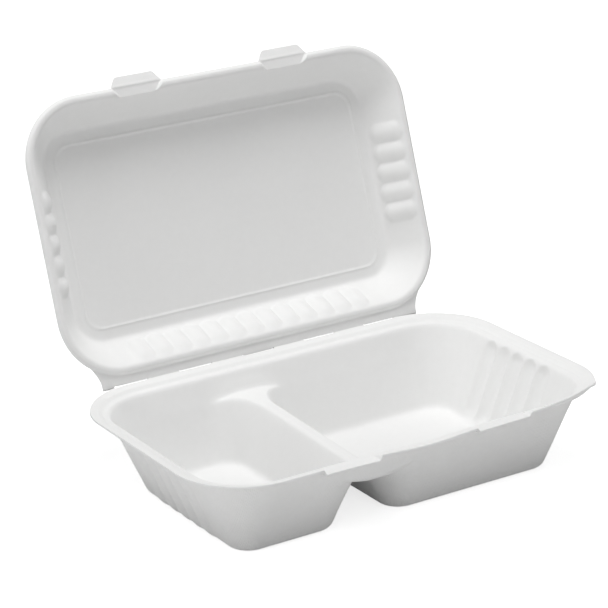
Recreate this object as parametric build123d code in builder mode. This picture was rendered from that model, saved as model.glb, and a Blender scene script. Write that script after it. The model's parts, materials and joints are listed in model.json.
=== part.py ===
"""Bagasse clamshell meal box: a two-compartment tray and its hinged lid.

Millimetres, Z up. The origin is the middle of the footprint, on the table. +Y points to the hinge.
Depths are measured down from the plane of the tray's lip, insets inwards from its outline.
"""

import os
from math import cos, hypot, radians, sin, tan

from build123d import *

# Overall sizes
box_length = 250.0
box_width = 161.6
tray_depth = 48.4
rim_corner = 40.0
open_angle = 107.5

# Moulded fibre, thinner in the lid, which is why the open box stands
tray_wall = 1.1
lid_wall = 0.75

# Tray rim, from the lip inwards: a cupped flange, a riser down and the ledge that the lid sits on
flange_width = 4.6
flange_drop = 1.2
riser_width = 2.0
riser_drop = 1.4
ledge_width = 3.6
ledge_drop = 0.5
ledge_bevel = 2.2

# Tray walls and floor
tray_draft = 23.0
floor_round = 8.0

# Divider between the small left compartment and the large right one
divider_place = -22.0
divider_width = 7.0
divider_depth = 16.0

# Flutes in the short walls of the tray
tray_flutes = 5
tray_flute_pitch = 12.0
tray_flute_radius = 8.0
tray_flute_depth = 1.8
tray_flute_top = 8.0
tray_flute_foot = 38.0
tray_flute_run_out = 4.0

# Lid, outline of its bead, and section from the bead inwards
lid_seat_gap = 0.05
hinge_strip_width = 5.0
lid_side_inset = 5.1
lid_front_inset = 4.4
lid_corner = 35.2
bead_depth = 1.75
bead_lead_in = 1.6
bead_width = 4.4
lid_depth = 18.3
lid_draft = 35.0
lid_shoulder_bevel = 2.8
panel_inset = 26.4
panel_ridge_width = 4.4
panel_ridge_height = 1.0
panel_rise = 0.4

# Ribs pressed inwards in the lid's back wall and short walls
lid_back_ribs = 13
lid_side_ribs = 5
lid_rib_pitch = 11.5
lid_rib_radius = 5.8
lid_rib_height = 1.8
lid_rib_foot = 2.5
lid_rib_top = 12.0
lid_rib_run_out = 3.5
lid_rib_sides = 16

# Locking tabs on the lid's front and the notches that take them in the tray's lip
tab_place = 46.4
tab_root_width = 31.0
tab_tip_width = 23.0
tab_reach = 5.5
tab_fold_inset = 5.7
tab_lap = 0.3
notch_clearance = 1.0
notch_bite = 1.2

# Hinge strip with its slits along the crease
crease_half_length = 101.3
crease_gap = 0.3
strip_flare = 4.7
strip_flare_rise = 7.5
strip_flare_bow = 1.2
crease_slits = 5
slit_pitch = 39.9
slit_shift = -4.7
slit_length = 20.0
slit_width = 0.8

# Worked out from the sizes above
slope = tan(radians(tray_draft))
wall_across = tray_wall / cos(radians(tray_draft))
riser_inset = flange_width + riser_width
riser_depth = flange_drop + riser_drop
ledge_inset = riser_inset + ledge_width
ledge_depth = riser_depth + ledge_drop
ledge_slope = ledge_drop / ledge_width
web_depth = divider_depth + tray_wall
floor_depth = tray_depth - tray_wall
crease_y = box_width / 2
rim_z = tray_depth
lid_length = box_length - 2 * lid_side_inset
lid_width = box_width - hinge_strip_width - lid_front_inset
lid_centre_y = crease_y - hinge_strip_width - lid_width / 2
lid_slope = tan(radians(lid_draft))
lid_foot_inset = bead_width + (lid_depth + bead_depth) * lid_slope
lip_overrun = 1.0
cut_height = 12.0


def parallel(points, distance):
    """The line of points moved to its left by a distance."""
    sides = []
    for (x0, z0), (x1, z1) in zip(points, points[1:]):
        run = hypot(x1 - x0, z1 - z0)
        sides.append(((x1 - x0) / run, (z1 - z0) / run))
    moved = []
    for index, (x, z) in enumerate(points):
        before = sides[max(index - 1, 0)]
        after = sides[min(index, len(sides) - 1)]
        share = distance / (1 + before[0] * after[0] + before[1] * after[1])
        moved.append((x - (before[1] + after[1]) * share, z + (before[0] + after[0]) * share))
    return moved


def bevelled(points, index, cut):
    """The points with the corner at an index cut off, a distance from it along both of its sides."""
    corner = Vector(*points[index])
    before = (Vector(*points[index - 1]) - corner).normalized() * cut + corner
    after = (Vector(*points[index + 1]) - corner).normalized() * cut + corner
    return points[:index] + [(before.X, before.Y), (after.X, after.Y)] + points[index + 1 :]


def pan(outline, length, width, corner, rounded=None, radius=0.0):
    """A solid whose section runs round a rounded rectangle.

    The outline is (inset, z) from the top of the axis to its bottom, and one of its points may be rounded.
    """
    half_length = length / 2 - corner
    half_width = width / 2 - corner
    top, bottom = outline[0][1], outline[-1][1]
    points = [(0, top)] + [(corner - inset, z) for inset, z in outline] + [(0, bottom)]
    radii = [0.0] * len(points)
    if rounded is not None:
        radii[outline.index(rounded) + 1] = radius
    corner_axis = Axis((half_length, half_width, 0), (0, 0, 1))
    end_plane = Plane((half_length, half_width, 0), x_dir=(1, 0, 0), z_dir=(0, -1, 0))
    side_plane = Plane((half_length, half_width, 0), x_dir=(0, 1, 0), z_dir=(1, 0, 0))
    with BuildPart() as body:
        with BuildSketch(end_plane) as end_section:
            with BuildLine():
                FilletPolyline(*points, radius=radii, close=True)
            make_face()
        revolve(axis=corner_axis, revolution_arc=90)
        extrude(end_section.sketch, amount=half_width)
        with BuildSketch(side_plane) as side_section:
            with BuildLine():
                FilletPolyline(*points, radius=radii, close=True)
            make_face()
        extrude(side_section.sketch, amount=-half_length)
        with Locations((half_length / 2, half_width / 2, (top + bottom) / 2)):
            Box(half_length, half_width, top - bottom)
        mirror(about=Plane.XZ)
        mirror(about=Plane.YZ)
    return body.part


def flute(place, length, radius, depth, run_out, sides=0):
    """A bar that presses one flute or rib into a wall.

    The plane's Z runs along it and its X through the wall, the way that it is pressed. It is at its full depth
    over the length, and runs out into the wall past both ends. It is round, or has the number of sides given.
    """
    surface = radius - depth
    with BuildPart(place) as bar:
        with BuildSketch(place.offset(-run_out)):
            if sides:
                RegularPolygon(radius, sides)
            else:
                Circle(radius)
        extrude(amount=length + 2 * run_out)
        with BuildSketch(Plane(place.origin, x_dir=place.x_dir, z_dir=-place.y_dir)):
            with BuildLine():
                Polyline(
                    (-radius, -run_out),
                    (surface, -run_out),
                    (radius, 0),
                    (radius, length),
                    (surface, length + run_out),
                    (-radius, length + run_out),
                    close=True,
                )
            make_face()
        extrude(amount=radius, both=True, mode=Mode.INTERSECT)
    return bar.part


def spaced(count, pitch):
    """Places of evenly spaced copies about the middle."""
    return [(index - (count - 1) / 2) * pitch for index in range(count)]


# Rim section, from the lip to the foot of the shared upper wall
def rim_skin(foot_depth):
    foot_inset = ledge_inset + (foot_depth - ledge_depth) * slope
    corners = [
        (0, 0),
        (flange_width, -flange_drop),
        (riser_inset, -riser_depth),
        (ledge_inset, -ledge_depth),
        (foot_inset, -foot_depth),
    ]
    return bevelled(corners, corners.index((ledge_inset, -ledge_depth)), ledge_bevel)


rim_top = rim_skin(divider_depth)
rim_below = parallel(rim_skin(tray_depth), -tray_wall)
wall_head = rim_below[-2]
web_inset_below = wall_head[0] + (web_depth + wall_head[1]) * slope
lip_overrun_z = lip_overrun * flange_drop / flange_width

upper_hollow = pan(
    [(-lip_overrun, cut_height), (-lip_overrun, lip_overrun_z)] + rim_top[1:],
    box_length,
    box_width,
    rim_corner,
)
upper_block = pan(
    [(0, cut_height / 2)] + [(0, rim_below[0][1])] + rim_below[1:-1] + [(web_inset_below, -web_depth)],
    box_length,
    box_width,
    rim_corner,
)

# Compartments below the top of the divider
hollow_inset = ledge_inset + (divider_depth - ledge_depth) * slope
block_inset = web_inset_below
divider_left = divider_place - divider_width / 2
divider_right = divider_place + divider_width / 2
web_shift = wall_across - tray_wall * slope


def compartment(left, right, depth, inset, foot, radius):
    """One compartment's solid between two X places at a depth, down to its rounded foot."""
    toe = ((foot - depth) * slope, -foot)
    body = pan([(0, -depth), toe], right - left, box_width - 2 * inset, rim_corner - inset, toe, radius)
    return body.moved(Location(((left + right) / 2, 0, 0)))


hollow_spans = [
    (-box_length / 2 + hollow_inset, divider_left),
    (divider_right, box_length / 2 - hollow_inset),
]
block_spans = [
    (-box_length / 2 + block_inset, divider_left + web_shift),
    (divider_right - web_shift, box_length / 2 - block_inset),
]


def tray_flute(side, place, wall):
    """The bar of one flute in the tray's left (-1) or right (1) wall, larger by the wall given."""
    lean = radians(tray_draft)
    outward = Vector(side * cos(lean), 0, -sin(lean))
    along = Vector(-side * sin(lean), 0, -cos(lean))
    wall_inset = ledge_inset + (tray_flute_top - ledge_depth) * slope
    top = Vector(side * (box_length / 2 - wall_inset), place, -tray_flute_top)
    origin = top - outward * (tray_flute_radius - tray_flute_depth)
    length = (tray_flute_foot - tray_flute_top) / cos(lean)
    plane = Plane(origin, x_dir=outward, z_dir=along)
    return flute(plane, length, tray_flute_radius + wall, tray_flute_depth, tray_flute_run_out)


tray_flute_places = [
    (side, place) for side in (-1, 1) for place in spaced(tray_flutes, tray_flute_pitch)
]

# Tray: the outer block with its hollows taken out, then the notches in the front lip
with BuildPart() as base:
    add(upper_block)
    for left, right in block_spans:
        add(compartment(left, right, web_depth, block_inset, tray_depth, floor_round))
    for side, place in tray_flute_places:
        add(tray_flute(side, place, tray_wall))
    add(upper_hollow, mode=Mode.SUBTRACT)
    for left, right in hollow_spans:
        hollow = compartment(left, right, divider_depth, hollow_inset, floor_depth, floor_round - tray_wall)
        add(hollow, mode=Mode.SUBTRACT)
    for side, place in tray_flute_places:
        add(tray_flute(side, place, 0), mode=Mode.SUBTRACT)
    notch_width = tab_root_width + 2 * notch_clearance
    notch_reach = riser_inset + notch_bite
    front_y = -box_width / 2
    lip_drop = riser_depth - riser_inset * ledge_slope
    inner_drop = riser_depth + (notch_reach - riser_inset) * ledge_slope
    for side in (-1, 1):
        with Locations((side * tab_place, front_y + (notch_reach - cut_height) / 2, 0)):
            Box(notch_width, notch_reach + cut_height, 2 * cut_height, mode=Mode.SUBTRACT)
        with BuildSketch(Plane.YZ.offset(side * tab_place)):
            with BuildLine():
                Polyline(
                    (front_y, -lip_drop),
                    (front_y + notch_reach, -inner_drop),
                    (front_y + notch_reach, -inner_drop - tray_wall),
                    (front_y, -lip_drop - tray_wall),
                    close=True,
                )
            make_face()
        extrude(amount=notch_width / 2, both=True)
    base.part = base.part.moved(Location((0, 0, rim_z)))

# Lid section in its closed attitude, Z measured up from the plane of the tray's lip
lid_corners = [
    (0, lid_seat_gap),
    (bead_lead_in, -bead_depth),
    (bead_width, -bead_depth),
    (lid_foot_inset, lid_depth),
    (panel_inset - panel_ridge_width, lid_depth),
    (panel_inset - 0.3 * panel_ridge_width, lid_depth - panel_ridge_height),
    (panel_inset, lid_depth - panel_rise),
    (lid_corner, lid_depth - panel_rise),
]
lid_skin = bevelled(lid_corners, 3, lid_shoulder_bevel)
lid_top = parallel(lid_skin, lid_wall)
lid_block = pan(
    lid_top[-2:0:-1] + [(0, lid_seat_gap + lid_wall), (0, -cut_height / 2)],
    lid_length,
    lid_width,
    lid_corner,
)
lid_hollow = pan(
    lid_skin[-2:0:-1] + [(0, lid_seat_gap), (-lip_overrun, lid_seat_gap), (-lip_overrun, -cut_height)],
    lid_length,
    lid_width,
    lid_corner,
)


def lid_rib(side, place, wall):
    """The bar of one rib in the lid's left (-1), right (1) or back (0) wall, smaller by the wall given."""
    lean = radians(lid_draft)
    wall_inset = bead_width + (lid_rib_foot + bead_depth) * lid_slope
    if side:
        foot = Vector(side * (lid_length / 2 - wall_inset), place, lid_rib_foot)
        out = Vector(side, 0, 0)
    else:
        foot = Vector(place, lid_width / 2 - wall_inset, lid_rib_foot)
        out = Vector(0, 1, 0)
    outward = out * cos(lean) + Vector(0, 0, sin(lean))
    along = Vector(0, 0, cos(lean)) - out * sin(lean)
    origin = foot + outward * (lid_rib_radius - lid_rib_height)
    length = (lid_rib_top - lid_rib_foot) / cos(lean)
    plane = Plane(origin, x_dir=-outward, z_dir=along)
    return flute(plane, length, lid_rib_radius - wall, lid_rib_height, lid_rib_run_out, lid_rib_sides)


lid_rib_places = [(0, place) for place in spaced(lid_back_ribs, lid_rib_pitch)]
lid_rib_places += [(side, place) for side in (-1, 1) for place in spaced(lid_side_ribs, lid_rib_pitch)]

with BuildPart() as lid_cavity:
    add(lid_hollow)
    for side, place in lid_rib_places:
        add(lid_rib(side, place, 0), mode=Mode.SUBTRACT)

with BuildPart() as closed_lid:
    add(lid_block)
    for side, place in lid_rib_places:
        add(lid_rib(side, place, lid_wall), mode=Mode.SUBTRACT)
    add(lid_cavity.part, mode=Mode.SUBTRACT)
    # The bead is pressed flat where the tabs run out of it
    for side in (-1, 1):
        root_half = tab_root_width / 2
        tip_half = tab_tip_width / 2
        front = -lid_width / 2
        tab_x = side * tab_place
        with BuildSketch(Plane.XY.offset(-cut_height)):
            with BuildLine():
                Polyline(
                    (tab_x - root_half, front - cut_height),
                    (tab_x - root_half, front),
                    (tab_x - tip_half, front + tab_fold_inset),
                    (tab_x + tip_half, front + tab_fold_inset),
                    (tab_x + root_half, front),
                    (tab_x + root_half, front - cut_height),
                    close=True,
                )
            make_face()
        extrude(amount=2 * cut_height, mode=Mode.SUBTRACT)
        with BuildSketch(Plane.XY.offset(lid_seat_gap)):
            with BuildLine():
                Polyline(
                    (tab_x - tip_half, front - tab_reach),
                    (tab_x - root_half, front),
                    (tab_x - tip_half, front + tab_fold_inset + tab_lap),
                    (tab_x + tip_half, front + tab_fold_inset + tab_lap),
                    (tab_x + root_half, front),
                    (tab_x + tip_half, front - tab_reach),
                    close=True,
                )
            make_face()
        extrude(amount=lid_wall)
    # Hinge strip, flared where it runs into the corners of the bead
    crease = lid_width / 2 + hinge_strip_width
    strip_root = crease - crease_gap
    flare_y = crease - hinge_strip_width - strip_flare_rise
    flare_x = crease_half_length + strip_flare
    middle_x = crease_half_length + strip_flare_bow
    middle_y = (strip_root + flare_y) / 2
    with BuildSketch(Plane.XY.offset(lid_seat_gap)):
        with BuildLine():
            Line((-crease_half_length, strip_root), (crease_half_length, strip_root))
            ThreePointArc((crease_half_length, strip_root), (middle_x, middle_y), (flare_x, flare_y))
            Line((flare_x, flare_y), (-flare_x, flare_y))
            ThreePointArc((-flare_x, flare_y), (-middle_x, middle_y), (-crease_half_length, strip_root))
        make_face()
        inner_length = lid_length - bead_lead_in
        inner_width = lid_width - bead_lead_in
        RectangleRounded(inner_length, inner_width, lid_corner - bead_lead_in / 2, mode=Mode.SUBTRACT)
        with Locations(*[(x + slit_shift, strip_root) for x in spaced(crease_slits, slit_pitch)]):
            Rectangle(slit_length, 2 * slit_width, mode=Mode.SUBTRACT)
    extrude(amount=lid_wall)

# The lid stands open on its crease, leaning back
crease_axis = Axis((0, crease_y, rim_z), (1, 0, 0))
with BuildPart() as lid:
    add(closed_lid.part.moved(Location((0, lid_centre_y, rim_z))).rotate(crease_axis, -open_angle))

os.makedirs("parts", exist_ok=True)
base.part.label = "base"
lid.part.label = "lid"
export_step(base.part, "parts/base.step")
export_step(lid.part, "parts/lid.step")
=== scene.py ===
"""Bagasse clamshell meal box: moulded fibre tray and lid, standing open.

Heights in the skins below are measured from the plane of the tray's lip, insets inwards from an outline.
"""

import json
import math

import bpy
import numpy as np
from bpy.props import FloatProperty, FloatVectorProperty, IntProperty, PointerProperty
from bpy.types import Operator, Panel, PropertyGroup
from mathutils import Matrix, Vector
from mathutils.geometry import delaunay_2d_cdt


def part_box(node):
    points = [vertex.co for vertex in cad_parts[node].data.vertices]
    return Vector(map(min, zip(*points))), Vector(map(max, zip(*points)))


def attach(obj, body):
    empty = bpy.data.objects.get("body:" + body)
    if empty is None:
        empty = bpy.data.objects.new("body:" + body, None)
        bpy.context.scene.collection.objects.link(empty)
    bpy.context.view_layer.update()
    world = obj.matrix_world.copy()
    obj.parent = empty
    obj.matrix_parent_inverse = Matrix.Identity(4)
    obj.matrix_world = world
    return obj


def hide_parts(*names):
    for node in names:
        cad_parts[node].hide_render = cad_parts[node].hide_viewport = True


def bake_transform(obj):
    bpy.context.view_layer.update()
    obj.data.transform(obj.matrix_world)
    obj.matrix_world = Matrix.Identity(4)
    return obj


bl_info = {
    "name": "Bagasse clamshell meal box",
    "version": (1, 0, 0),
    "blender": (4, 5, 0),
    "location": "View3D > Sidebar > Meal Box",
    "description": "Builds a moulded fibre meal box with a divided tray and a hinged lid",
    "category": "Add Mesh",
}

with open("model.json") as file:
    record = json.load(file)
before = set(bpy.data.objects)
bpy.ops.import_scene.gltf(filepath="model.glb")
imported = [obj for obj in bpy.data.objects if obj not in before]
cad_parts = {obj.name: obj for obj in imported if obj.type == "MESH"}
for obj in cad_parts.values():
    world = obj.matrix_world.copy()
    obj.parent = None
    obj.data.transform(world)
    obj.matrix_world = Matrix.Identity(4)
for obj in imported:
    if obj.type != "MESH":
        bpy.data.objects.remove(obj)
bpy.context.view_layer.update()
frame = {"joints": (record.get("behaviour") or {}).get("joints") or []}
tray_low, tray_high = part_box("base")
hinge = frame["joints"][0]
open_angle = math.radians(-hinge["range_deg"][0])

MM = 0.001

# The moulding's warp, in millimetres: the lip's right corner stands up, its middle hangs
CORNER_RISE = 3.2
RISE_PLACE = 100
RISE_WIDTH = 22
RISE_INSET = (1.2, 4.2)
HANG_WIDTH = 26

# The floor of the lip's notches: mean depth and half their difference, in millimetres, and the fall inwards
NOTCH_DEPTH = 2.5
NOTCH_SKEW = 0.35
NOTCH_FALL = 0.04

# The side slits' notch as a share of the middle one's
SIDE_SLIT = 0.45


def length_property(name, description, millimetres):
    """A length that the user can change, given in millimetres."""
    default = millimetres * MM
    return FloatProperty(name=name, description=description, default=default, unit="LENGTH", precision=5)


class TraySizes(PropertyGroup):
    """Sizes of the tray."""

    wall: length_property("Wall", "Thickness of the pressed fibre", 1.1)
    corner: length_property("Corner", "Corner radius of the lip's outline", 40.0)
    flange_width: length_property("Flange width", "Width of the cupped flange", 4.6)
    flange_drop: length_property("Flange drop", "How far the flange falls inwards", 1.2)
    riser_width: length_property("Riser width", "Width of the step down from the flange", 2.0)
    riser_drop: length_property("Riser drop", "Height of the step down from the flange", 1.4)
    ledge_width: length_property("Ledge width", "Width of the ledge under the lid's bead", 3.6)
    ledge_drop: length_property("Ledge drop", "How far the ledge falls inwards", 0.5)
    step_round: length_property("Step round", "Rounding of the flange and the riser", 0.9)
    ledge_round: length_property("Ledge round", "Rounding from the ledge into the wall", 4.0)
    floor_round: length_property("Floor round", "Rounding from the wall into the floor", 4.8)
    draft: FloatProperty(
        name="Draft", description="Lean of the walls", default=math.radians(23), unit="ROTATION"
    )
    divider_place: length_property("Divider place", "X of the middle of the divider", -22.0)
    divider_width: length_property("Divider width", "Width of the divider's ridge", 7.0)
    divider_depth: length_property("Divider depth", "Depth where the bowls part", 16.0)
    ridge_back: length_property("Ridge back", "Depth of the ridge at the back wall", 13.6)
    ridge_front: length_property("Ridge front", "Depth of the ridge at the front wall", 19.4)
    ridge_round: length_property("Ridge round", "Softness of the ridge's edges", 2.6)
    web_round: length_property("Web round", "Softness where the webs meet the walls", 2.4)
    notch_place: length_property("Notch place", "Distance of each notch from the middle", 46.4)
    notch_width: length_property("Notch width", "Length of the pressed notch in the front lip", 33.0)
    notch_soft: length_property("Notch soft", "Width over which a notch's end rises", 0.7)
    middle_sag: length_property("Middle sag", "How far the middle of the front lip hangs", 1.9)
    flute_pitch: length_property("Flute pitch", "Distance between flutes in the short walls", 12.0)
    flute_radius: length_property("Flute radius", "Radius of each flute's scoop", 8.0)
    flute_depth: length_property("Flute depth", "Depth of each flute", 2.1)
    flute_top: length_property("Flute top", "Depth where the flutes reach their full section", 8.0)
    flute_foot: length_property("Flute foot", "Depth where the flutes' full section ends", 42.5)
    flutes: IntProperty(name="Flutes", description="Flutes in each short wall", default=5, min=0)


class LidSizes(PropertyGroup):
    """Sizes of the lid."""

    wall: length_property("Wall", "Thickness of the pressed fibre", 0.75)
    seat_gap: length_property("Seat gap", "Height of the flange over the tray's lip when shut", 0.05)
    hinge_strip: length_property("Hinge strip", "Width of the strip between crease and bead", 5.0)
    side_inset: length_property("Side inset", "How far the lid's ends stay inside the tray's", 5.1)
    front_inset: length_property("Front inset", "How far the lid's front stays inside the tray's", 4.4)
    corner: length_property("Corner", "Corner radius of the lid's outline", 35.2)
    bead_lead: length_property("Bead lead", "Width of the slope into the bead", 1.6)
    bead_width: length_property("Bead width", "Width from the outline to the wall", 4.4)
    bead_depth: length_property("Bead depth", "Depth of the bead", 1.75)
    bead_round: length_property("Bead round", "Rounding of the bead", 1.2)
    bead_wall_round: length_property("Bead wall round", "Rounding from the bead into the wall", 2.6)
    depth: length_property("Depth", "Height of the lid over the tray's lip", 18.3)
    shoulder_round: length_property("Shoulder round", "Rounding from the wall into the panel", 6.0)
    panel_inset: length_property("Panel inset", "Inset of the panel", 26.4)
    ridge_width: length_property("Ridge width", "Width of the low ridge round the panel", 4.4)
    ridge_height: length_property("Ridge height", "Height of the ridge over the panel", 0.5)
    panel_round: length_property("Panel round", "Rounding of the ridge", 1.6)
    draft: FloatProperty(
        name="Draft", description="Lean of the walls", default=math.radians(35), unit="ROTATION"
    )
    tab_place: length_property("Tab place", "Distance of each tab from the middle", 46.4)
    tab_root: length_property("Tab root", "Width of a tab at the lid's edge", 31.0)
    tab_tip: length_property("Tab tip", "Width of a tab at its tip", 23.0)
    tab_reach: length_property("Tab reach", "How far a tab stands out", 5.5)
    tab_fold: length_property("Tab fold", "How far a tab's flat runs into the lid", 5.7)
    tab_bend: FloatProperty(name="Tab bend", description="How steeply a tab's tip bends back", default=0.26)
    tab_groove: length_property("Tab groove", "Depth of the pressed fold lines across a tab", 0.3)
    tab_soft: length_property("Tab soft", "Width over which a tab's flat meets the bead", 0.7)
    crease_half: length_property("Crease half length", "Half the length of the crease", 101.3)
    crease_gap: length_property("Crease gap", "Gap between strip and crease", 0.3)
    flare_width: length_property("Flare width", "How far the strip's ends flare", 4.7)
    flare_bow: length_property("Flare bow", "Hollow of the flare's curve", 1.2)
    slit_pitch: length_property("Slit pitch", "Distance between the slits", 39.9)
    slit_length: length_property("Slit length", "Length of each slit", 20.0)
    slit_shift: length_property("Slit shift", "X of the middle slit", -4.7)
    slit_notch: length_property("Slit notch", "How far the tray's lip stands back at the middle slit", 0.9)
    slit_tongue: length_property("Slit tongue", "How far the strip passes the crease at the middle slit", 0.5)
    slits: IntProperty(name="Slits", description="Slits along the crease", default=5, min=0)
    rib_pitch: length_property("Rib pitch", "Distance between ribs", 11.5)
    rib_radius: length_property("Rib radius", "Radius of each rib's back", 9.0)
    rib_height: length_property("Rib height", "Height of each rib", 2.1)
    rib_foot: length_property("Rib foot", "Height where the ribs' full section starts", 2.5)
    rib_top: length_property("Rib top", "Height where the ribs' full section ends", 13.0)
    back_ribs: IntProperty(name="Back ribs", description="Ribs in the hinge wall", default=13, min=0)
    side_ribs: IntProperty(name="Side ribs", description="Ribs in each short wall", default=5, min=0)


class FibreFinish(PropertyGroup):
    """Finish of the moulded fibre."""

    colour: FloatVectorProperty(
        name="Colour", description="Colour of the bleached fibre", subtype="COLOR", size=3,
        default=(0.84, 0.84, 0.835),
    )
    roughness: FloatProperty(
        name="Roughness", description="Roughness of the face", default=0.86, min=0, max=1
    )
    grain: length_property("Grain", "Size of the felt's grain", 0.6)
    unevenness: length_property("Unevenness", "Height of the moulding's slow waves", 0.25)
    wave: length_property("Wave", "Length of the moulding's slow waves", 26.0)


class StageSettings(PropertyGroup):
    """Camera, lights and floor."""

    camera_place: FloatVectorProperty(
        name="Camera place", description="Where the camera stands", subtype="TRANSLATION", size=3,
        default=(-0.67378, -1.07218, 0.55180),
    )
    camera_lens: FloatProperty(name="Lens", description="Focal length in millimetres", default=152.40)
    key_power: FloatProperty(name="Key power", description="Watts of the soft light overhead", default=16.0)
    side_power: FloatProperty(name="Side power", description="Watts of the light on the left", default=4.5)
    fill_power: FloatProperty(name="Fill power", description="Watts of the soft light in front", default=2.7)
    sky: FloatProperty(name="Sky", description="Strength of the even light all round", default=0.25)


def rounded_line(corners, rounds, steps=8):
    """The line through the corners, each inner corner rounded by its radius, as places and heights."""
    corners = [np.array(corner, dtype=float) for corner in corners]
    line = [corners[0]]
    for before, corner, after, radius in zip(corners, corners[1:], corners[2:], rounds):
        back = (before - corner) / np.linalg.norm(before - corner)
        ahead = (after - corner) / np.linalg.norm(after - corner)
        turn = math.pi - math.acos(np.clip(back @ ahead, -1, 1))
        reach = radius * math.tan(turn / 2)
        reach = min(reach, 0.48 * np.linalg.norm(before - corner), 0.48 * np.linalg.norm(after - corner))
        for t in np.linspace(0, 1, steps):
            line.append(corner + back * reach * (1 - t) ** 2 + ahead * reach * t ** 2)
    line.append(corners[-1])
    return np.array(line).T


def inset_of(x, y, length, width, corner):
    """How far points lie inside a rounded rectangle about the origin."""
    over_x = np.abs(x) - (length / 2 - corner)
    over_y = np.abs(y) - (width / 2 - corner)
    outward = np.hypot(np.maximum(over_x, 0), np.maximum(over_y, 0))
    return corner - (outward + np.minimum(np.maximum(over_x, over_y), 0))


def ring(length, width, corner, inset, step_x, step_y, step_corner, middle=0.0):
    """Points round a rounded rectangle, an inset inside the given one."""
    half_x = length / 2 - corner
    half_y = width / 2 - corner
    radius = corner - inset
    count_x = max(2, round(2 * half_x / step_x))
    count_y = max(2, round(2 * half_y / step_y))
    count_turn = max(3, round(radius * math.pi / 2 / step_corner))
    along_x = np.linspace(-half_x, half_x, count_x + 1)
    along_y = np.linspace(-half_y, half_y, count_y + 1)
    angles = np.linspace(0, math.pi / 2, count_turn + 1)[1:-1]
    sides = []
    for quarter, (sign_x, sign_y) in enumerate([(1, -1), (1, 1), (-1, 1), (-1, -1)]):
        turned = angles + (quarter - 1) * math.pi / 2
        arc_x = sign_x * half_x + radius * np.cos(turned)
        arc_y = sign_y * half_y + radius * np.sin(turned)
        arc = np.stack([arc_x, arc_y], 1)
        if quarter == 0:
            sides.append(np.stack([along_x, np.full(len(along_x), -half_y - radius)], 1))
        if quarter == 1:
            sides.append(np.stack([np.full(len(along_y), half_x + radius), along_y], 1))
        if quarter == 2:
            sides.append(np.stack([along_x[::-1], np.full(len(along_x), half_y + radius)], 1))
        if quarter == 3:
            sides.append(np.stack([np.full(len(along_y), -half_x - radius), along_y[::-1]], 1))
        sides.append(arc)
    points = np.vstack(sides)
    points[:, 0] += middle
    return points


def grid(low_x, high_x, low_y, high_y, step):
    """Points of a plain grid over a rectangle."""
    places_x = np.arange(low_x, high_x + step / 2, step)
    places_y = np.arange(low_y, high_y + step / 2, step)
    return np.stack(np.meshgrid(places_x, places_y), -1).reshape(-1, 2)


def soft_min(a, b, soft):
    """The lower of two heights, blended where they are near each other."""
    soft = np.maximum(soft, 1e-9)
    near = np.maximum(soft - np.abs(a - b), 0) / soft
    return np.minimum(a, b) - near * near * soft / 4


def soft_max(a, b, soft):
    """The higher of two heights, blended where they are near each other."""
    return -soft_min(-a, -b, soft)


def soft_step(value, low, high):
    """From 0 below low to 1 above high, smoothly."""
    t = np.clip((value - low) / (high - low), 0, 1)
    return t * t * (3 - 2 * t)


def within(points, loop):
    """Which points lie inside the closed loop."""
    odd = np.zeros(len(points), bool)
    x, y = points.T
    for (x_a, y_a), (x_b, y_b) in zip(loop, np.roll(loop, -1, 0)):
        if y_a != y_b:
            crosses = (y_a > y) != (y_b > y)
            odd ^= crosses & (x < x_a + (y - y_a) * (x_b - x_a) / (y_b - y_a))
    return odd


def skin(name, loop, points, height, flip):
    """A sheet over the plan's points, bounded by the loop, in metres."""
    coords = [Vector(point) for point in np.vstack([loop, points]).tolist()]
    edges = [(index, (index + 1) % len(loop)) for index in range(len(loop))]
    found, _, faces, _, _, _ = delaunay_2d_cdt(coords, edges, [], 0, 1e-5, False)
    plan = np.array([place[:] for place in found])
    faces = np.array(faces)
    faces = faces[within(plan[faces].mean(1), loop)]
    used = np.unique(faces)
    place_of = np.full(len(plan), -1)
    place_of[used] = np.arange(len(used))
    plan = plan[used]
    verts = np.column_stack([plan, height(plan[:, 0], plan[:, 1])]) * MM
    faces = place_of[faces][:, ::-1] if flip else place_of[faces]
    mesh = bpy.data.meshes.new(name)
    mesh.from_pydata(verts.tolist(), [], faces.tolist())
    mesh.validate()
    mesh.shade_smooth()
    obj = bpy.data.objects.new(name, mesh)
    bpy.context.scene.collection.objects.link(obj)
    return obj


def settle(obj, matrix=None):
    """Turns the object's modifiers and place into plain mesh."""
    depsgraph = bpy.context.evaluated_depsgraph_get()
    mesh = bpy.data.meshes.new_from_object(obj.evaluated_get(depsgraph))
    obj.modifiers.clear()
    old = obj.data
    obj.data = mesh
    bpy.data.meshes.remove(old)
    mesh.name = obj.name
    if matrix is not None:
        mesh.transform(matrix)
    mesh.update()


def millimetres(sizes, *names):
    """The named lengths in millimetres."""
    return [getattr(sizes, name) / MM for name in names]


def node(tree, kind, x=0, y=0, **settings):
    """Adds a node at a place in the tree, with its settings."""
    added = tree.nodes.new(kind)
    added.location = (x, y)
    for name, value in settings.items():
        setattr(added, name, value)
    return added


def maths(tree, operation, first, second=None, third=None, x=0, y=0):
    """Adds a Math node whose inputs are sockets or numbers, and returns its output."""
    added = node(tree, "ShaderNodeMath", x, y, operation=operation)
    for socket, value in zip(added.inputs, (first, second, third)):
        if isinstance(value, bpy.types.NodeSocket):
            tree.links.new(value, socket)
        elif value is not None:
            socket.default_value = value
    return added.outputs[0]


def vector_maths(tree, operation, first, second, output=0, x=0, y=0):
    """Adds a Vector Math node whose inputs are sockets or vectors, and returns its output."""
    added = node(tree, "ShaderNodeVectorMath", x, y, operation=operation)
    for socket, value in zip(added.inputs, (first, second)):
        if isinstance(value, bpy.types.NodeSocket):
            tree.links.new(value, socket)
        elif value is not None:
            socket.default_value = value
    return added.outputs[output]


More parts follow.
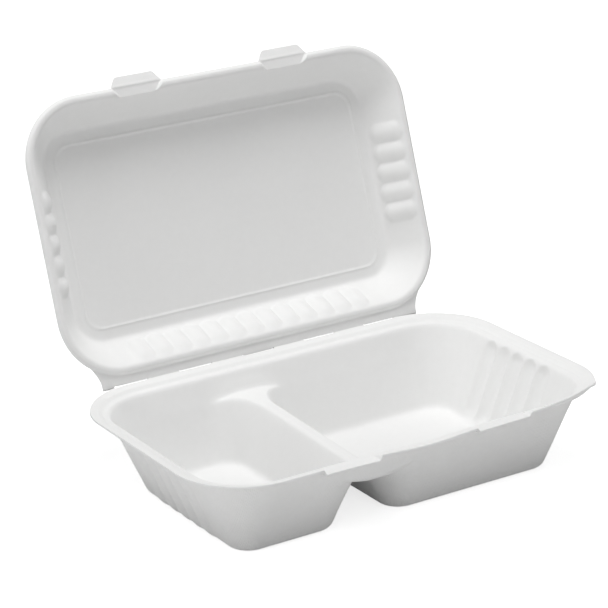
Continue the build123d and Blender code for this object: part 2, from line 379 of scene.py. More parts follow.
def add_sockets(tree, inputs, outputs):
    """Gives a node group its named sockets."""
    for name, kind, default in inputs:
        socket = tree.interface.new_socket(name, in_out="INPUT", socket_type=kind)
        if default is not None:
            socket.default_value = default
    for name, kind in outputs:
        tree.interface.new_socket(name, in_out="OUTPUT", socket_type=kind)


def flute_press():
    """The Geometry Nodes tree that presses a row of flutes outwards, or of ribs inwards, in one wall."""
    tree = bpy.data.node_groups.get("press flutes")
    if tree:
        return tree
    tree = bpy.data.node_groups.new("press flutes", "GeometryNodeTree")
    add_sockets(tree, [
        ("Geometry", "NodeSocketGeometry", None),
        ("Count", "NodeSocketInt", 5),
        ("Pitch", "NodeSocketFloat", 0.012),
        ("Radius", "NodeSocketFloat", 0.008),
        ("Depth", "NodeSocketFloat", 0.0018),
        ("Low", "NodeSocketFloat", 0.0),
        ("High", "NodeSocketFloat", 0.03),
        ("Run Out", "NodeSocketFloat", 0.004),
        ("Edge", "NodeSocketFloat", 0.0006),
        ("Direction", "NodeSocketVector", (1.0, 0.0, 0.0)),
        ("Reach", "NodeSocketFloat", 0.05),
        ("Middle", "NodeSocketFloat", 0.0),
        ("Sense", "NodeSocketFloat", 1.0),
        ("Material", "NodeSocketMaterial", None),
    ], [("Geometry", "NodeSocketGeometry")])
    given = node(tree, "NodeGroupInput", -1800, 0)
    place = node(tree, "GeometryNodeInputPosition", -1800, 400).outputs[0]
    facing = node(tree, "GeometryNodeInputNormal", -1800, 500).outputs[0]
    value = given.outputs
    across = vector_maths(tree, "CROSS_PRODUCT", (0, 0, 1), value["Direction"], x=-1600, y=200)
    level_along = vector_maths(tree, "DOT_PRODUCT", place, across, 1, -1500, 200)
    along = maths(tree, "SUBTRACT", level_along, value["Middle"], x=-1400, y=200)
    odd = maths(tree, "MODULO", maths(tree, "ADD", value["Count"], 1.0), 2.0, x=-1600, y=-100)
    half = maths(tree, "MULTIPLY", value["Pitch"], 0.5, x=-1600, y=-200)
    shifted = maths(tree, "SUBTRACT", along, maths(tree, "MULTIPLY", odd, half), x=-1200, y=200)
    minus = maths(tree, "MULTIPLY", half, -1.0, x=-1400, y=-200)
    beside = maths(tree, "WRAP", shifted, half, minus, x=-1000, y=200)
    row = maths(tree, "MULTIPLY", value["Count"], half, x=-1400, y=0)
    inside_row = maths(tree, "LESS_THAN", maths(tree, "ABSOLUTE", along), row, x=-1000, y=0)
    height = node(tree, "ShaderNodeSeparateXYZ", -1600, 600)
    tree.links.new(place, height.inputs[0])
    level = height.outputs["Z"]
    rise = maths(tree, "DIVIDE", maths(tree, "SUBTRACT", level, value["Low"]), value["Run Out"])
    rise = maths(tree, "ADD", rise, 1.0)
    fall = maths(tree, "DIVIDE", maths(tree, "SUBTRACT", value["High"], level), value["Run Out"])
    fall = maths(tree, "ADD", fall, 1.0)
    share = maths(tree, "MINIMUM", maths(tree, "MINIMUM", rise, fall), 1.0)
    share = maths(tree, "MAXIMUM", share, 0.0, x=-800, y=600)
    full = maths(tree, "MULTIPLY", value["Depth"], share, x=-700, y=500)
    squared = maths(tree, "MULTIPLY", value["Radius"], value["Radius"], x=-1200, y=-100)
    chord = maths(tree, "SUBTRACT", squared, maths(tree, "MULTIPLY", beside, beside), x=-800, y=200)
    bow = maths(tree, "SQRT", maths(tree, "MAXIMUM", chord, 0.0), x=-600, y=200)
    scoop = maths(tree, "SUBTRACT", full, maths(tree, "SUBTRACT", value["Radius"], bow), x=-400, y=200)
    pressed = maths(tree, "SMOOTH_MAX", scoop, 0.0, value["Edge"], x=-200, y=200)
    inward = vector_maths(tree, "DOT_PRODUCT", facing, value["Direction"], 1, -1200, 800)
    faced = node(tree, "ShaderNodeMapRange", -800, 800, interpolation_type="SMOOTHSTEP")
    tree.links.new(inward, faced.inputs["Value"])
    faced.inputs["From Min"].default_value = -0.3
    faced.inputs["From Max"].default_value = -0.6
    outwards = vector_maths(tree, "DOT_PRODUCT", place, value["Direction"], 1)
    beyond = maths(tree, "GREATER_THAN", outwards, value["Reach"])
    gate = maths(tree, "MULTIPLY", inside_row, beyond)
    gate = maths(tree, "MULTIPLY", gate, faced.outputs["Result"], x=-200, y=0)
    turned = maths(tree, "MULTIPLY", gate, value["Sense"], x=-100, y=0)
    amount = maths(tree, "MULTIPLY", pressed, turned, x=0, y=200)
    scale = node(tree, "ShaderNodeVectorMath", 200, 200, operation="SCALE")
    tree.links.new(value["Direction"], scale.inputs[0])
    tree.links.new(amount, scale.inputs["Scale"])
    move = node(tree, "GeometryNodeSetPosition", 400, 0)
    tree.links.new(value["Geometry"], move.inputs["Geometry"])
    tree.links.new(scale.outputs[0], move.inputs["Offset"])
    whole = node(tree, "GeometryNodeRealizeInstances", 600, 0)
    tree.links.new(move.outputs[0], whole.inputs[0])
    finish = node(tree, "GeometryNodeSetMaterial", 800, 0)
    tree.links.new(whole.outputs[0], finish.inputs["Geometry"])
    tree.links.new(value["Material"], finish.inputs["Material"])
    result = node(tree, "NodeGroupOutput", 1000, 0)
    tree.links.new(finish.outputs[0], result.inputs[0])
    return tree


def press(obj, values):
    """Presses one row of flutes or ribs into the sheet, with the given values for the tree's inputs."""
    tree = flute_press()
    modifier = obj.modifiers.new("flutes", "NODES")
    modifier.node_group = tree
    for item in tree.interface.items_tree:
        if item.in_out == "INPUT" and item.name in values:
            modifier[item.identifier] = values[item.name]


def thicken(obj, wall, edge):
    """Gives the sheet its wall, away from its face, with softly rounded edges."""
    walls = obj.modifiers.new("wall", "SOLIDIFY")
    walls.thickness = wall
    walls.offset = -1
    walls.use_even_offset = True
    walls.use_quality_normals = True
    walls.material_offset = 1
    walls.material_offset_rim = 0
    soft = obj.modifiers.new("edge", "BEVEL")
    soft.width = edge
    soft.segments = 2
    soft.limit_method = "ANGLE"
    soft.angle_limit = math.radians(55)
    soft.use_clamp_overlap = True


def grain_group():
    """The felted fibre: a fine matted height and slow waves left by drying."""
    tree = bpy.data.node_groups.get("fibre felt")
    if tree:
        return tree
    tree = bpy.data.node_groups.new("fibre felt", "ShaderNodeTree")
    add_sockets(tree, [
        ("Vector", "NodeSocketVector", None),
        ("Grain", "NodeSocketFloat", 0.0006),
        ("Wave", "NodeSocketFloat", 0.026),
        ("Wave Height", "NodeSocketFloat", 0.00025),
        ("Grain Height", "NodeSocketFloat", 0.00002),
        ("Fleck", "NodeSocketFloat", 0.04),
    ], [("Height", "NodeSocketFloat"), ("Shade", "NodeSocketFloat"), ("Roughness", "NodeSocketFloat")])
    given = node(tree, "NodeGroupInput", -1200, 0)
    value = given.outputs

    def noise(size, detail, rough, y):
        """A noise whose blobs have the size that the socket gives."""
        cloud = node(tree, "ShaderNodeTexNoise", -700, y)
        tree.links.new(value["Vector"], cloud.inputs["Vector"])
        tree.links.new(maths(tree, "DIVIDE", 1.0, size, x=-900, y=y), cloud.inputs["Scale"])
        cloud.inputs["Detail"].default_value = detail
        cloud.inputs["Roughness"].default_value = rough
        return cloud.outputs["Fac"]

    fine = noise(value["Grain"], 4.0, 0.6, 300)
    matted = noise(maths(tree, "MULTIPLY", value["Grain"], 6.0, x=-1000, y=0), 3.0, 0.55, 0)
    slow = noise(value["Wave"], 1.0, 0.4, -300)
    fine_height = maths(tree, "ADD", fine, matted)
    fine_height = maths(tree, "MULTIPLY", fine_height, value["Grain Height"], x=-400, y=300)
    slow_height = maths(tree, "MULTIPLY", slow, value["Wave Height"], x=-400, y=-300)
    height = maths(tree, "ADD", fine_height, slow_height, x=-200, y=0)
    centred = maths(tree, "SUBTRACT", matted, 0.5, x=-400, y=0)
    shade = maths(tree, "MULTIPLY_ADD", centred, value["Fleck"], 1.0, x=-200, y=200)
    rough = maths(tree, "MULTIPLY_ADD", centred, 0.2, 0.0, x=-200, y=-200)
    result = node(tree, "NodeGroupOutput", 0, 0)
    tree.links.new(height, result.inputs["Height"])
    tree.links.new(shade, result.inputs["Shade"])
    tree.links.new(rough, result.inputs["Roughness"])
    return tree


def screen_group():
    """The faint weave that the forming screen leaves on the outer side."""
    tree = bpy.data.node_groups.get("screen marks")
    if tree:
        return tree
    tree = bpy.data.node_groups.new("screen marks", "ShaderNodeTree")
    add_sockets(tree, [
        ("Vector", "NodeSocketVector", None),
        ("Pitch", "NodeSocketFloat", 0.0009),
        ("Depth", "NodeSocketFloat", 0.00003),
    ], [("Height", "NodeSocketFloat")])
    given = node(tree, "NodeGroupInput", -1000, 0)
    value = given.outputs
    split = node(tree, "ShaderNodeSeparateXYZ", -800, 200)
    tree.links.new(value["Vector"], split.inputs[0])
    turns = maths(tree, "DIVIDE", 2 * math.pi, value["Pitch"], x=-800, y=0)
    waves = []
    for index, axis in enumerate("XYZ"):
        phase = maths(tree, "MULTIPLY", split.outputs[axis], turns, x=-600, y=200 - 150 * index)
        waves.append(maths(tree, "SINE", phase, x=-400, y=200 - 150 * index))
    weave = maths(tree, "ADD", maths(tree, "ADD", waves[0], waves[1]), waves[2], x=-200, y=100)
    height = maths(tree, "MULTIPLY", weave, value["Depth"], x=0, y=0)
    result = node(tree, "NodeGroupOutput", 200, 0)
    tree.links.new(height, result.inputs["Height"])
    return tree


def fibre_material(name, finish, outer):
    """Bleached, pressed fibre, smooth on the mould's side and screen-marked on the outer side."""
    material = bpy.data.materials.get(name)
    if material:
        return material
    material = bpy.data.materials.new(name)
    material.use_nodes = True
    tree = material.node_tree
    tree.nodes.clear()
    output = node(tree, "ShaderNodeOutputMaterial", 600, 0)
    shader = node(tree, "ShaderNodeBsdfPrincipled", 300, 0)
    tree.links.new(shader.outputs[0], output.inputs[0])
    shader.inputs["Specular IOR Level"].default_value = 0.25
    shader.inputs["Sheen Weight"].default_value = 0.08
    shader.inputs["Sheen Roughness"].default_value = 0.6
    where = node(tree, "ShaderNodeTexCoord", -900, 0)
    felt = node(tree, "ShaderNodeGroup", -600, 0, node_tree=grain_group())
    tree.links.new(where.outputs["Object"], felt.inputs["Vector"])
    felt.inputs["Grain"].default_value = finish.grain
    felt.inputs["Wave"].default_value = finish.wave
    felt.inputs["Wave Height"].default_value = finish.unevenness
    felt.inputs["Grain Height"].default_value = 0.00004 if outer else 0.000025
    felt.inputs["Fleck"].default_value = 0.05 if outer else 0.035
    tint = node(tree, "ShaderNodeMix", -200, 200, data_type="RGBA", blend_type="MULTIPLY")
    tint.inputs["Factor"].default_value = 1.0
    tint.inputs[6].default_value = (*finish.colour, 1.0)
    tree.links.new(felt.outputs["Shade"], tint.inputs[7])
    tree.links.new(tint.outputs[2], shader.inputs["Base Color"])
    rough = maths(tree, "ADD", felt.outputs["Roughness"], finish.roughness, x=-200, y=0)
    tree.links.new(rough, shader.inputs["Roughness"])
    height = felt.outputs["Height"]
    if outer:
        marks = node(tree, "ShaderNodeGroup", -600, -300, node_tree=screen_group())
        tree.links.new(where.outputs["Object"], marks.inputs["Vector"])
        height = maths(tree, "ADD", height, marks.outputs["Height"], x=-300, y=-200)
    bump = node(tree, "ShaderNodeBump", 0, -200)
    bump.inputs["Strength"].default_value = 1.0
    bump.inputs["Distance"].default_value = 1.0
    tree.links.new(height, bump.inputs["Height"])
    tree.links.new(bump.outputs[0], shader.inputs["Normal"])
    return material


def dress(obj, finish):
    """Gives a sheet its inner and outer finish."""
    inner = fibre_material("pressed fibre", finish, False)
    obj.data.materials.append(inner)
    obj.data.materials.append(fibre_material("screened fibre", finish, True))
    return inner


class MEALBOX_OT_tray(Operator):
    """Builds the divided tray with its rim, flutes and pressed notches."""

    bl_idname = "mealbox.tray"
    bl_label = "Tray"

    def execute(self, context):
        sizes = context.scene.meal_tray
        length, width = [(high - low) / MM for low, high in zip(tray_low[:2], tray_high[:2])]
        depth = tray_high[2] / MM
        wall, corner, flange, drop = millimetres(sizes, "wall", "corner", "flange_width", "flange_drop")
        riser, riser_drop = millimetres(sizes, "riser_width", "riser_drop")
        ledge, ledge_drop = millimetres(sizes, "ledge_width", "ledge_drop")
        step, ledge_round, floor_round = millimetres(sizes, "step_round", "ledge_round", "floor_round")
        place, ridge, part_depth = millimetres(sizes, "divider_place", "divider_width", "divider_depth")
        back, front = millimetres(sizes, "ridge_back", "ridge_front")
        ridge_soft, web_soft = millimetres(sizes, "ridge_round", "web_round")
        notch_place, notch_width, notch_soft = millimetres(sizes, "notch_place", "notch_width", "notch_soft")
        sag, pitch = millimetres(sizes, "middle_sag", "flute_pitch")
        flute_top, flute_foot = millimetres(sizes, "flute_top", "flute_foot")
        lean = math.tan(sizes.draft)
        floor = depth - wall
        wall_start = flange + riser + ledge
        wall_top = drop + riser_drop + ledge_drop
        rim_corners = [
            (0, 0), (flange, drop), (flange + riser, drop + riser_drop), (wall_start, wall_top),
            (wall_start + (floor - wall_top) * lean, floor), (length / 2, floor),
        ]
        rim = rounded_line(rim_corners, [step, step, ledge_round, floor_round])
        part_inset = wall_start + (part_depth - wall_top) * lean
        bowl_corners = [
            (-20, part_depth - 20 / lean), ((floor - part_depth) * lean, floor), (length / 2, floor),
        ]
        bowl_line = rounded_line(bowl_corners, [floor_round])
        ends = length / 2 - part_inset
        bowls = []
        for low, high in ((-ends, place - ridge / 2), (place + ridge / 2, ends)):
            bowls.append(((low + high) / 2, high - low, width - 2 * part_inset, corner - part_inset))

        def height(x, y):
            """The inner face's height at places in the plan."""
            inset = inset_of(x, y, length, width, corner)
            open_wall = np.interp(inset, *rim)
            top = np.full(len(x), part_depth)
            bowl = np.full(len(x), -100.0)
            for middle, long, wide, turn in bowls:
                inner = inset_of(x - middle, y, long, wide, turn)
                bowl = np.maximum(bowl, np.interp(inner, *bowl_line))
            divided = soft_max(top, bowl, ridge_soft)
            keep = np.clip(1 - (divided - top) / 4, 0, 1)
            fall = soft_min(open_wall, divided, web_soft * keep)
            towards = np.clip((y / (width / 2 - part_inset) + 1) / 2, 0, 1)
            bent = front + (back - front) * towards ** 0.8 - part_depth
            near = 1 - soft_step(np.abs(x - place), 5, 26)
            fall = fall + bent * near * soft_step(fall, 5, 14) * (1 - soft_step(fall, part_depth, floor))
            for side in (-1, 1):
                along = notch_width / 2 - np.abs(x - side * notch_place)
                pressed = soft_step(along, -notch_soft, notch_soft) * (y < 0)
                flat = NOTCH_DEPTH - NOTCH_SKEW * side + NOTCH_FALL * inset
                fall = fall + np.maximum(flat - fall, 0) * pressed
            lip = soft_step(-y, width / 2 - 16, width / 2 - 4) * (1 - soft_step(fall, 3, 14))
            hang = sag * np.exp(-(x / HANG_WIDTH) ** 2)
            rise = CORNER_RISE * np.exp(-((x - RISE_PLACE) / RISE_WIDTH) ** 2)
            rise = rise * (1 - soft_step(inset, *RISE_INSET))
            return depth - fall + lip * (rise - hang)

        step_y = pitch / 14
        loop = ring(length, width, corner, 0, 1.0, step_y, 1.5)
        lid = context.scene.meal_lid
        slit, slit_length, notch = millimetres(lid, "slit_shift", "slit_length", "slit_notch")
        for index in range(lid.slits):
            number = index - (lid.slits - 1) // 2
            beside = np.abs(loop[:, 0] - slit - number * lid.slit_pitch / MM)
            at_slit = 1 - soft_step(beside, slit_length / 2 - 0.5, slit_length / 2 + 0.5)
            loop[:, 1] -= notch * (1.0 if number == 0 else SIDE_SLIT) * at_slit * (loop[:, 1] > 0)
        rings = [0.4, 1.0, 1.9, 2.8, 3.6, 4.1, 4.6, 5.1, 5.6, 6.1, 6.6, 7.1, 7.7, 8.4, 9.1, 9.8, 10.5]
        rings += [11.2, 12, 12.9, 13.8, 14.6]
        parts = [ring(length, width, corner, inset, 1.7, step_y, 1.5) for inset in rings]
        bowl_rings = [0, 0.5, 1.0, 1.6, 2.4, 3.3, 4.3, 5.3, 6.3, 7.3, 8.3, 9.3, 10.2, 11, 11.6, 12.2]
        bowl_rings += [12.8, 13.4, 14, 14.7, 15.5, 16.4, 17.5, 18.8]
        for middle, long, wide, turn in bowls:
            for inset in bowl_rings:
                parts.append(ring(long, wide, turn, inset, 2.0, step_y, 1.3, middle))
            inside = grid(-long / 2 + 21.5, long / 2 - 21.5, -wide / 2 + 21.5, wide / 2 - 21.5, 3.2)
            parts.append(inside + np.array([middle, 0]))
        webs = grid(place - 40, place + 40, -width / 2 + part_inset + 0.3, width / 2 - part_inset - 0.3, 0.85)
        outside = np.ones(len(webs), bool)
        for middle, long, wide, turn in bowls:
            outside &= inset_of(webs[:, 0] - middle, webs[:, 1], long, wide, turn) < -0.35
        parts.append(webs[outside])
        for side in (-1, 1):
            for end in (-1, 1):
                edge = side * notch_place + end * notch_width / 2
                for shift in (-0.7, -0.35, 0, 0.35, 0.7):
                    parts.append(grid(edge + shift, edge + shift, -width / 2 + 0.5, -width / 2 + 9.0, 0.7))
        tray = skin("tray_shell", loop, np.vstack(parts), height, False)
        inner = dress(tray, context.scene.meal_finish)
        for way in (-1.0, 1.0):
            press(tray, {
                "Count": sizes.flutes, "Pitch": sizes.flute_pitch, "Radius": sizes.flute_radius,
                "Depth": sizes.flute_depth, "Low": (depth - flute_foot) * MM,
                "High": (depth - flute_top) * MM, "Run Out": 0.005, "Edge": 0.0005,
                "Direction": (way, 0.0, 0.0), "Reach": 0.09, "Material": inner,
            })
        settle(tray)
        thicken(tray, sizes.wall, 0.00028)
        settle(tray)
        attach(tray, "base")
        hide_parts("base")
        return {"FINISHED"}


def lid_place():
    """The turn from the shut attitude to the open one at rest."""
    pivot = Matrix.Translation(Vector(hinge["pos_m"]))
    return pivot @ Matrix.Rotation(-open_angle, 4, "X") @ pivot.inverted()


class MEALBOX_OT_lid(Operator):
    """Builds the lid with its bead, panel, ribs, hinge strip and locking tabs."""

    bl_idname = "mealbox.lid"
    bl_label = "Lid"

    def execute(self, context):
        sizes = context.scene.meal_lid
        tray_length, tray_width = [(high - low) / MM for low, high in zip(tray_low[:2], tray_high[:2])]
        gap, strip = millimetres(sizes, "seat_gap", "hinge_strip")
        side, ahead = millimetres(sizes, "side_inset", "front_inset")
        corner, lead, bead, bead_depth = millimetres(sizes, "corner", "bead_lead", "bead_width", "bead_depth")
        bead_round, bead_wall = millimetres(sizes, "bead_round", "bead_wall_round")
        tall, shoulder = millimetres(sizes, "depth", "shoulder_round")
        panel, ridge, ridge_height, panel_round = millimetres(
            sizes, "panel_inset", "ridge_width", "ridge_height", "panel_round"
        )
        tab_place, tab_root = millimetres(sizes, "tab_place", "tab_root")
        tab_tip, tab_reach = millimetres(sizes, "tab_tip", "tab_reach")
        tab_fold, tab_soft, half_crease, crease_gap = millimetres(
            sizes, "tab_fold", "tab_soft", "crease_half", "crease_gap"
        )
        groove, = millimetres(sizes, "tab_groove")
        flare, flare_bow = millimetres(sizes, "flare_width", "flare_bow")
        slit_length, slit_shift, tongue = millimetres(sizes, "slit_length", "slit_shift", "slit_tongue")
        length = tray_length - 2 * side
        width = tray_width - strip - ahead
        lean = math.tan(sizes.draft)
        crease = width / 2 + strip - crease_gap
        wall_end = bead + (tall + bead_depth) * lean
        line = rounded_line([
            (0, gap), (lead, -bead_depth), (bead, -bead_depth), (wall_end, tall), (panel - ridge, tall),
            (panel - 0.5 * ridge, tall - 0.2 * ridge_height), (panel - 0.25 * ridge, tall - ridge_height),
            (panel, tall), (length / 2, tall),
        ], [bead_round, bead_wall, shoulder, panel_round, panel_round / 2, panel_round / 2, panel_round / 2])

        def height(x, y):
            """The inner face's height over the tray's lip when shut, at places in the plan."""
            inset = inset_of(x, y, length, width, corner)
            level = np.interp(inset, *line)
            for way in (-1, 1):
                reach = tab_tip / 2 + (tab_root - tab_tip) / 2 * (1 - np.clip(inset, 0, tab_fold) / tab_fold)
                within = soft_step(reach - np.abs(x - way * tab_place), -tab_soft, tab_soft) * (y < 0)
                level = level + np.maximum(gap - level, 0) * within * (inset < tab_fold + 1)
                lines = np.exp(-(inset / 0.5) ** 2) + 0.8 * np.exp(-((inset - tab_fold) / 0.5) ** 2)
                level = level + (sizes.tab_bend * np.maximum(-inset, 0) - groove * lines) * within
            return level

        step = sizes.rib_pitch / MM / 13
        turns = np.linspace(0, math.pi / 2, 34)
        half_x = length / 2 - corner
        half_y = width / 2 - corner
        right = []
        front_edge = -width / 2
        right += [(x, front_edge) for x in np.arange(0, tab_place - tab_root / 2 - 0.5, 1.7)]
        tab = [(-tab_root / 2, 0), (-tab_tip / 2, -tab_reach), (tab_tip / 2, -tab_reach), (tab_root / 2, 0)]
        tab_line = rounded_line(tab, [2.2, 2.2], 7).T
        fine = []
        for first, last in zip(tab_line[:-1], tab_line[1:]):
            count = max(1, round(float(np.linalg.norm(last - first)) / 1.1))
            fine += [first + (last - first) * t / count for t in range(count)]
        fine.append(tab_line[-1])
        right += [(tab_place + float(x), front_edge + float(y)) for x, y in fine]
        right += [(x, front_edge) for x in np.arange(tab_place + tab_root / 2 + 1.2, half_x, 1.7)]
        right += [(half_x + corner * math.sin(t), -half_y - corner * math.cos(t)) for t in turns]
        count = round(2 * half_y / step)
        right += [(length / 2, y) for y in np.linspace(-half_y, half_y, count + 1)[1:-1]]
        meet_x = half_crease + flare
        meet = math.acos((meet_x - half_x) / corner)
        bend = np.linspace(0, meet, 26)
        right += [(half_x + corner * math.cos(t), half_y + corner * math.sin(t)) for t in bend]
        meet_y = half_y + corner * math.sin(meet)
        for t in np.linspace(0, 1, 12)[1:]:
            along = meet_y + (crease - meet_y) * t
            right.append((meet_x - flare * t - flare_bow * 4 * t * (1 - t), along))
        left = [(-x, y) for x, y in right[::-1]]
        across = np.linspace(half_crease, -half_crease, round(2 * half_crease / 1.0) + 1)[1:-1]
        edge = np.full(len(across), crease)
        for index in range(sizes.slits):
            number = index - (sizes.slits - 1) // 2
            beside = np.abs(across - slit_shift - number * sizes.slit_pitch / MM)
            reach = crease_gap + (tongue if number == 0 else 0.0)
            edge = edge + reach * (1 - soft_step(beside, slit_length / 2 - 1.0, slit_length / 2))
        top = list(zip(across, edge))
        loop = np.array(right + top + left[:-1])

        rings = [0.5, 1.0, 1.5, 2.0, 2.5, 3.0, 3.5, 4.0, 4.5, 5.1, 5.8, 6.6, 7.6, 8.6, 9.6, 10.6, 11.6]
        rings += [12.6, 13.6, 14.6, 15.5, 16.3, 17, 17.7, 18.4, 19.1, 19.8, 20.6, 21.5, 22.6, 23.4, 23.9]
        rings += [24.3, 24.7, 25.1, 25.5, 25.9, 26.3, 26.8, 27.6]
        parts = [ring(length, width, corner, inset, step, step, 1.4) for inset in rings]
        parts.append(grid(-length / 2 + 30.5, length / 2 - 30.5, -width / 2 + 30.5, width / 2 - 30.5, 3.2))
        outline = ring(length, width, corner, 0, step, step, 1.4)
        on_tab = (outline[:, 1] < 0) & (np.abs(np.abs(outline[:, 0]) - tab_place) < tab_root / 2 - 0.6)
        on_strip = (outline[:, 1] > half_y) & (np.abs(outline[:, 0]) < meet_x - 1.2)
        parts.append(outline[on_tab | on_strip])
        for row in (0.9, 1.8, 2.7, 3.5):
            across = np.arange(-half_crease - 1.5 + row / 3, half_crease + 1.5 - row / 3, 1.3)
            parts.append(np.stack([across, np.full(len(across), width / 2 + row)], 1))
        for way in (-1, 1):
            for row in (0.9, 1.8, 2.7, 3.6, 4.6):
                half = tab_tip / 2 + (tab_root - tab_tip) / 2 * (1 - row / tab_reach) - 0.9
                across = np.arange(-half, half + 0.1, 1.2)
                parts.append(np.stack([across + way * tab_place, np.full(len(across), front_edge - row)], 1))
            for end in (-1, 1):
                for shift in (-0.7, -0.35, 0, 0.35, 0.7):
                    inward = np.arange(0.4, tab_fold + 0.5, 0.5)
                    half = tab_tip / 2 + (tab_root - tab_tip) / 2 * (1 - inward / tab_fold)
                    parts.append(np.stack([way * tab_place + end * half + shift, front_edge + inward], 1))
        lid = skin("lid_shell", loop, np.vstack(parts), height, True)
        inner = dress(lid, context.scene.meal_finish)
        rows = [((0.0, 1.0, 0.0), sizes.back_ribs, 0.04, 0.0017)]
        rows += [((way, 0.0, 0.0), sizes.side_ribs, 0.08, 0.0) for way in (-1.0, 1.0)]
        for way, count, reach, middle in rows:
            press(lid, {
                "Count": count, "Pitch": sizes.rib_pitch, "Radius": sizes.rib_radius,
                "Depth": sizes.rib_height, "Low": sizes.rib_foot, "High": sizes.rib_top,
                "Run Out": 0.0035, "Edge": 0.0003, "Direction": way, "Reach": reach, "Middle": middle,
                "Sense": -1.0, "Material": inner,
            })
        settle(lid)
        thicken(lid, sizes.wall, 0.0002)
        shut = Matrix.Translation((0, (tray_width / 2 - width / 2 - strip) * MM, tray_high[2]))
        settle(lid, lid_place() @ shut)
        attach(lid, "lid")
        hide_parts("lid")
        return {"FINISHED"}


class MEALBOX_OT_crease(Operator):
    """Builds the fold that joins tray and lid between the slits."""

    bl_idname = "mealbox.crease"
    bl_label = "Crease"

    def execute(self, context):
        tray = context.scene.meal_tray
        lid = context.scene.meal_lid
        axis = Vector(hinge["pos_m"])
        ends = [-lid.crease_half]
        for index in range(lid.slits):
            middle = (index - (lid.slits - 1) / 2) * lid.slit_pitch + lid.slit_shift
            ends += [middle - lid.slit_length / 2, middle + lid.slit_length / 2]
        ends.append(lid.crease_half)
        steps = 9
        verts = []
        faces = []
        for low, high in zip(ends[::2], ends[1::2]):
            count = max(2, round((high - low) / 0.002))
            for number in range(count + 1):
                x = low + (high - low) * number / count
                base = len(verts)
                verts.append((x, axis.y, axis.z))
                for turn in range(steps + 1):
                    share = turn / steps
                    angle = -math.pi / 2 + (math.pi - open_angle) * share
                    radius = tray.wall * 0.92 + (lid.wall * 0.92 - tray.wall * 0.92) * share
                    verts.append((x, axis.y + radius * math.cos(angle), axis.z + radius * math.sin(angle)))
                for radius in (lid.wall * 0.92, 0.0):
                    out = Vector((0, math.cos(angle), math.sin(angle))) * radius
                    up = Vector((0, -math.cos(open_angle), math.sin(open_angle))) * (lid.crease_gap + 0.0001)
                    verts.append((x, *(axis + out + up).yz))
                row = steps + 4
                if number:
                    for turn in range(row):
                        after = (turn + 1) % row
                        faces.append((base - row + turn, base + turn, base + after, base - row + after))
                else:
                    faces.append(tuple(range(base, base + row)))
            faces.append(tuple(reversed(range(base, base + row))))
        mesh = bpy.data.meshes.new("crease_fold")
        mesh.from_pydata(verts, [], faces)
        mesh.validate()
        mesh.shade_smooth()
        fold = bpy.data.objects.new("crease_fold", mesh)
        context.scene.collection.objects.link(fold)
        mesh.materials.append(fibre_material("screened fibre", context.scene.meal_finish, True))
        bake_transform(fold)
        return {"FINISHED"}


def stage_material(name, glow):
    """White for the camera and for mirrors, plain white diffuse for all other light."""
    material = bpy.data.materials.new(name)
    material.use_nodes = True
    tree = material.node_tree
    tree.nodes.clear()
    output = node(tree, "ShaderNodeOutputMaterial", 600, 0)
    together = node(tree, "ShaderNodeAddShader", 400, 0)
    cloth = node(tree, "ShaderNodeBsdfDiffuse", 100, 100)
    cloth.inputs["Color"].default_value = (0.8, 0.8, 0.8, 1.0)
    bright = node(tree, "ShaderNodeEmission", 100, -100)
    path = node(tree, "ShaderNodeLightPath", -500, 0)
    seen = maths(tree, "MAXIMUM", path.outputs["Is Camera Ray"], path.outputs["Is Glossy Ray"], x=-300)
    seen = maths(tree, "MAXIMUM", seen, path.outputs["Is Transmission Ray"], x=-200)
    tree.links.new(maths(tree, "MULTIPLY", seen, glow, x=-50), bright.inputs["Strength"])
    tree.links.new(cloth.outputs[0], together.inputs[0])
    tree.links.new(bright.outputs[0], together.inputs[1])
    tree.links.new(together.outputs[0], output.inputs[0])
    return material


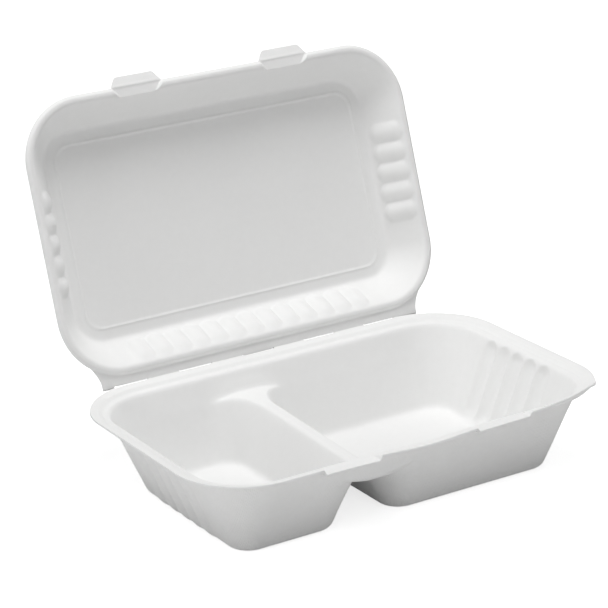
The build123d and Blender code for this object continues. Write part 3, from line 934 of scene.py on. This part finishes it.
class MEALBOX_OT_stage(Operator):
    """Sets the floor, the lights and the camera."""

    bl_idname = "mealbox.stage"
    bl_label = "Stage"

    def execute(self, context):
        scene = context.scene
        sizes = scene.meal_stage
        scene.view_settings.view_transform = "Standard"
        wide = 6.0
        rows = [(-wide, 0.0)]
        rows += [(2.5 + math.sin(a) * 1.0, 1.0 - math.cos(a)) for a in np.linspace(0, math.pi / 2, 13)]
        rows.append((3.5, 4.0))
        verts = []
        faces = []
        for y, z in rows:
            verts += [(-wide, y, z), (wide, y, z)]
        for index in range(len(rows) - 1):
            faces.append((2 * index, 2 * index + 1, 2 * index + 3, 2 * index + 2))
        mesh = bpy.data.meshes.new("floor")
        mesh.from_pydata(verts, [], faces)
        mesh.shade_smooth()
        floor = bpy.data.objects.new("floor", mesh)
        scene.collection.objects.link(floor)
        mesh.materials.append(stage_material("studio floor", 0.72))
        world = bpy.data.worlds.new("studio")
        scene.world = world
        world.use_nodes = True
        tree = world.node_tree
        tree.nodes.clear()
        output = node(tree, "ShaderNodeOutputWorld", 400, 0)
        sky = node(tree, "ShaderNodeBackground", 200, 0)
        path = node(tree, "ShaderNodeLightPath", -400, 0)
        seen = maths(tree, "MAXIMUM", path.outputs["Is Camera Ray"], path.outputs["Is Glossy Ray"], x=-200)
        seen = maths(tree, "MAXIMUM", seen, path.outputs["Is Transmission Ray"], x=-100)
        level = maths(tree, "MULTIPLY_ADD", seen, 1.0 - sizes.sky, sizes.sky, x=0)
        tree.links.new(level, sky.inputs["Strength"])
        sky.inputs["Color"].default_value = (1, 1, 1, 1)
        tree.links.new(sky.outputs[0], output.inputs[0])
        lights = [
            ("overhead", (0.0, 0.02, 1.58), (0.0, 0.02, 0.08), 0.8, sizes.key_power),
            ("left", (-1.455, 0.02, 0.44), (0.0, 0.02, 0.08), 0.8, sizes.side_power),
            ("front", (0.0, -1.435, 0.44), (0.0, 0.02, 0.08), 0.8, sizes.fill_power),
        ]
        for name, place, aim, size, power in lights:
            light = bpy.data.lights.new(name, "AREA")
            light.energy = power
            light.shape = "DISK"
            light.size = size
            lamp = bpy.data.objects.new(name, light)
            lamp.location = place
            lamp.rotation_euler = (Vector(aim) - Vector(place)).to_track_quat("-Z", "Y").to_euler()
            scene.collection.objects.link(lamp)
        data = bpy.data.cameras.new("camera")
        data.lens = sizes.camera_lens
        data.sensor_width = 36.0
        data.clip_end = 50.0
        camera = bpy.data.objects.new("camera", data)
        right = Vector((0.8481, -0.5288, -0.0332)).normalized()
        ahead = Vector((0.4886, 0.8049, -0.3367)).normalized()
        up = right.cross(ahead).normalized()
        turn = Matrix((right, up, -ahead)).transposed()
        camera.matrix_world = Matrix.Translation(Vector(sizes.camera_place)) @ turn.to_4x4()
        scene.collection.objects.link(camera)
        scene.camera = camera
        return {"FINISHED"}


class MEALBOX_PT_panel(Panel):
    """Lists the box's pieces."""

    bl_label = "Meal Box"
    bl_idname = "MEALBOX_PT_panel"
    bl_space_type = "VIEW_3D"
    bl_region_type = "UI"
    bl_category = "Meal Box"

    def draw(self, context):
        for name, operator in (("meal_tray", "mealbox.tray"), ("meal_lid", "mealbox.lid")):
            box = self.layout.box()
            box.operator(operator)
            settings = getattr(context.scene, name)
            for key in settings.__annotations__:
                box.prop(settings, key)
        self.layout.operator("mealbox.crease")
        self.layout.operator("mealbox.stage")


CLASSES = (
    TraySizes, LidSizes, FibreFinish, StageSettings,
    MEALBOX_OT_tray, MEALBOX_OT_lid, MEALBOX_OT_crease, MEALBOX_OT_stage, MEALBOX_PT_panel,
)


def register():
    """Adds the classes and the scene's settings."""
    for item in CLASSES:
        bpy.utils.register_class(item)
    bpy.types.Scene.meal_tray = PointerProperty(type=TraySizes)
    bpy.types.Scene.meal_lid = PointerProperty(type=LidSizes)
    bpy.types.Scene.meal_finish = PointerProperty(type=FibreFinish)
    bpy.types.Scene.meal_stage = PointerProperty(type=StageSettings)


def unregister():
    """Takes the classes and the scene's settings away."""
    del bpy.types.Scene.meal_tray
    del bpy.types.Scene.meal_lid
    del bpy.types.Scene.meal_finish
    del bpy.types.Scene.meal_stage
    for item in reversed(CLASSES):
        bpy.utils.unregister_class(item)


def main():
    register()
    bpy.ops.mealbox.stage()
    bpy.ops.mealbox.tray()
    bpy.ops.mealbox.lid()
    bpy.ops.mealbox.crease()


if __name__ == "__main__":
    main()
